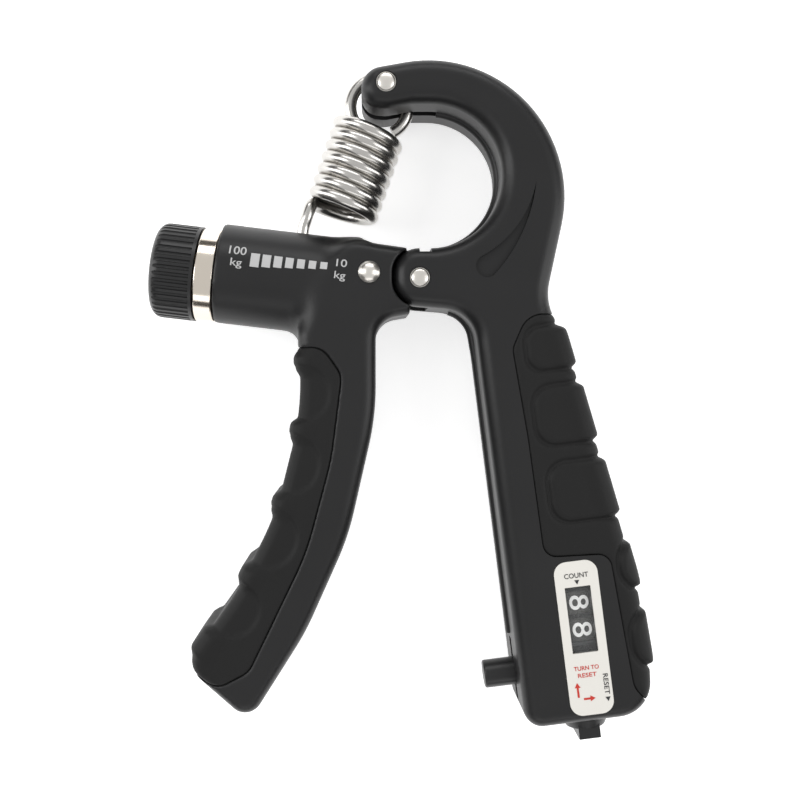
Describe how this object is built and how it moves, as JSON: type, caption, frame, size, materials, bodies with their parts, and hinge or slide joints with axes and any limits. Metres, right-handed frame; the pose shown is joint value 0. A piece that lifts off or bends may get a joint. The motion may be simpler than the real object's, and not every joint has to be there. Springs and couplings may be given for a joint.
{
  "type": "hand grip strengthener",
  "caption": "Adjustable spring hand-grip strengthener: hooked main handle, pivoting lever, tension knob and stroke counter.",
  "frame": {"origin": "on the main pivot axis, on the back face that the grip lies on", "axes": "+X from the lever side towards the counter handle, +Y towards the hook, +Z out of the back face through the thickness"},
  "size_m": [0.1148, 0.156, 0.0252],
  "materials": {
    "black_shell": "satin moulded nylon",
    "grip_rubber": "fine matte",
    "zinc_screw": "zinc plated",
    "nickel_pin": "polished nickel plate",
    "nickel_ring": "polished nickel plate",
    "spring_wire": "nickel-plated spring wire",
    "zinc_sheet": "zinc plated",
    "nylon": "natural nylon",
    "brass_nut": "turned",
    "black_knob": "satin",
    "number_wheel": "matt dark grey with white numbers",
    "clear_lens": "clear polished",
    "silver_label": "printed off-white film"
  },
  "bodies": {
    "main_handle": {"handle_front_shell": "black_shell", "handle_rear_shell": "black_shell", "handle_palm_grip": "grip_rubber", "handle_screws": "zinc_screw", "pivot_pin": "nickel_pin", "pivot_washers": "nylon", "spring_pin": "nickel_pin", "counter_frame": "zinc_sheet", "window_lens": "clear_lens", "counter_label": "silver_label", "button_spring": "spring_wire", "pinion_shaft": "zinc_sheet"},
    "lever": {"lever_front_shell": "black_shell", "lever_rear_shell": "black_shell", "lever_finger_grip": "grip_rubber", "lever_screws": "zinc_screw", "pivot_bush": "nickel_pin", "retaining_pin": "nickel_pin", "trim_ring": "nickel_ring", "thrust_washer": "brass_nut"},
    "knob": {"tension_knob": "black_knob", "knob_cap": "black_knob", "lead_screw": "zinc_screw"},
    "carriage": {"spring_carriage": "nylon", "carriage_nut": "brass_nut"},
    "spring_hanger": {"spring_bush": "nylon"},
    "spring_coil": {"tension_spring": "spring_wire"},
    "spring_foot": {"spring_leg": "spring_wire"},
    "button": {"count_button": "black_knob", "button_pawl": "zinc_sheet"},
    "reset_axle": {"counter_axle": "zinc_sheet", "axle_clip": "zinc_sheet", "reset_knob": "black_knob"},
    "units": {"units_wheel": "number_wheel", "ratchet_wheel": "nylon"},
    "tens": {"tens_wheel": "number_wheel"},
    "pinion": {"transfer_pinion": "nylon"}
  },
  "joints": [
    {"name": "squeeze", "type": "hinge", "parent": "main_handle", "child": "lever", "pos_m": [0, 0, 0.012], "axis": [0, 0, 1], "range_deg": [0, 27.5], "stiffness_Nm_per_rad": 9, "springref_deg": -6.88},
    {"name": "tension_turn", "type": "hinge", "parent": "lever", "child": "knob", "pos_m": [-0.0303, -0.00075, 0.012], "axis": [0.993, -0.1184, 0], "range_deg": [-1621, 1621]},
    {"name": "carriage_travel", "type": "slide", "parent": "lever", "child": "carriage", "axis": [-0.993, 0.1184, 0], "range_m": [-0.009, 0.009]},
    {"name": "spring_swing", "type": "hinge", "parent": "main_handle", "child": "spring_hanger", "pos_m": [-0.0076, 0.044, 0.012], "axis": [0, 0, 1], "range_deg": [-1, 8.27]},
    {"name": "spring_lean", "type": "hinge", "parent": "spring_hanger", "child": "spring_coil", "pos_m": [-0.0076, 0.044, 0.012], "axis": [0, 0, 1], "range_deg": [-13, 13], "deforming": ["tension_spring"]},
    {"name": "spring_stretch", "type": "slide", "parent": "spring_coil", "child": "spring_foot", "axis": [-0.4544, -0.8908, 0], "range_m": [-0.0005, 0.0123], "deforming": ["spring_leg"]},
    {"name": "count_press", "type": "slide", "parent": "main_handle", "child": "button", "axis": [0.9921, 0.1253, 0], "range_m": [0, 0.004], "stiffness_N_per_m": 250, "springref_m": -0.003, "deforming": ["button_spring", "button_pawl"]},
    {"name": "reset_turn", "type": "hinge", "parent": "main_handle", "child": "reset_axle", "pos_m": [0.03615, -0.0767, 0.012], "axis": [-0.1253, 0.9921, 0], "continuous": true},
    {"name": "units_advance", "type": "hinge", "parent": "reset_axle", "child": "units", "pos_m": [0.03654, -0.07978, 0.012], "axis": [-0.1253, 0.9921, 0], "range_deg": [0, 36.2]},
    {"name": "tens_turn", "type": "hinge", "parent": "main_handle", "child": "tens", "pos_m": [0.03576, -0.07362, 0.012], "axis": [-0.1253, 0.9921, 0], "continuous": true},
    {"name": "pinion_turn", "type": "hinge", "parent": "main_handle", "child": "pinion", "pos_m": [0.02643, -0.07793, 0.012], "axis": [-0.1253, 0.9921, 0], "continuous": true}
  ],
  "couplings": [
    {"joint": "tension_turn", "follows": "carriage_travel", "rad_per_m": 3141.6},
    {"joint": "spring_swing", "follows": "squeeze", "ratio": 0.26441},
    {"joint": "spring_lean", "follows": "carriage_travel", "rad_per_m": -20.854},
    {"joint": "spring_stretch", "follows": "squeeze", "m_per_rad": 0.02459},
    {"joint": "units_advance", "follows": "count_press", "rad_per_m": 157.08},
    {"joint": "tens_turn", "follows": "reset_turn", "ratio": 1},
    {"joint": "pinion_turn", "follows": "reset_turn", "ratio": -3.3333}
  ]
}
